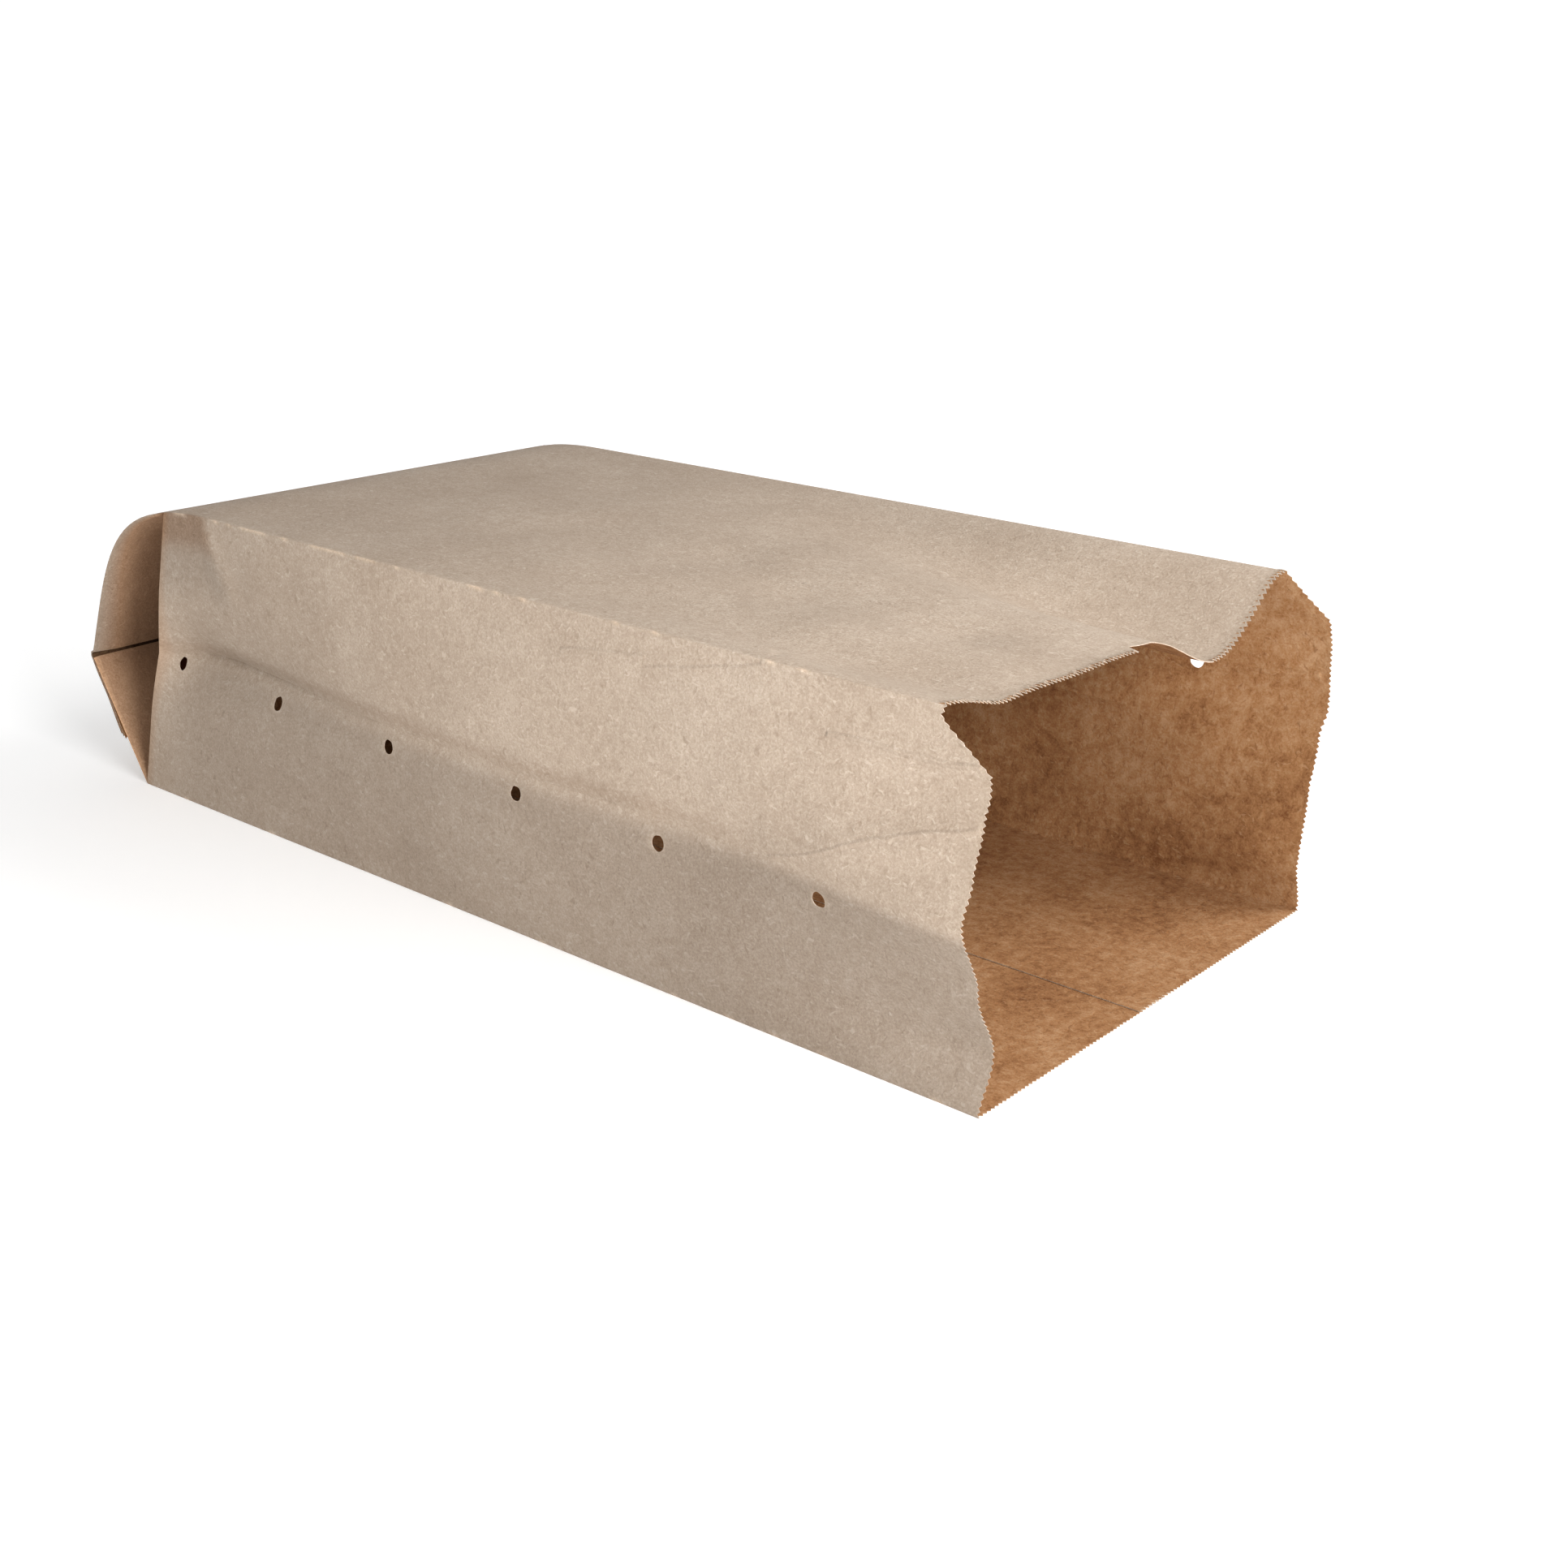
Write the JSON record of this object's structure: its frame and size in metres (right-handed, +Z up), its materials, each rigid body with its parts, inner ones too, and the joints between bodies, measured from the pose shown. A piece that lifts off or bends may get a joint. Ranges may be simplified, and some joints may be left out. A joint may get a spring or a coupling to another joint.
{
  "type": "paper snack bag",
  "caption": "Side-gusset brown kraft paper bag, opened up and lying on its back, with a saw-toothed mouth, a lip, vent holes in both gussets and a pinched, folded and glued end",
  "frame": {"origin": "under the middle of the bag's bounding box, on the surface that it lies on", "axes": "+X towards the open mouth, +Y across the bag towards its far gusset, +Z up"},
  "size_m": [0.3764, 0.1774, 0.1003],
  "materials": {
    "kraft_paper": "uncoated brown kraft paper, matt, with fine fibres"
  },
  "bodies": {
    "root": {"paper_bag": "kraft_paper"}
  },
  "joints": []
}
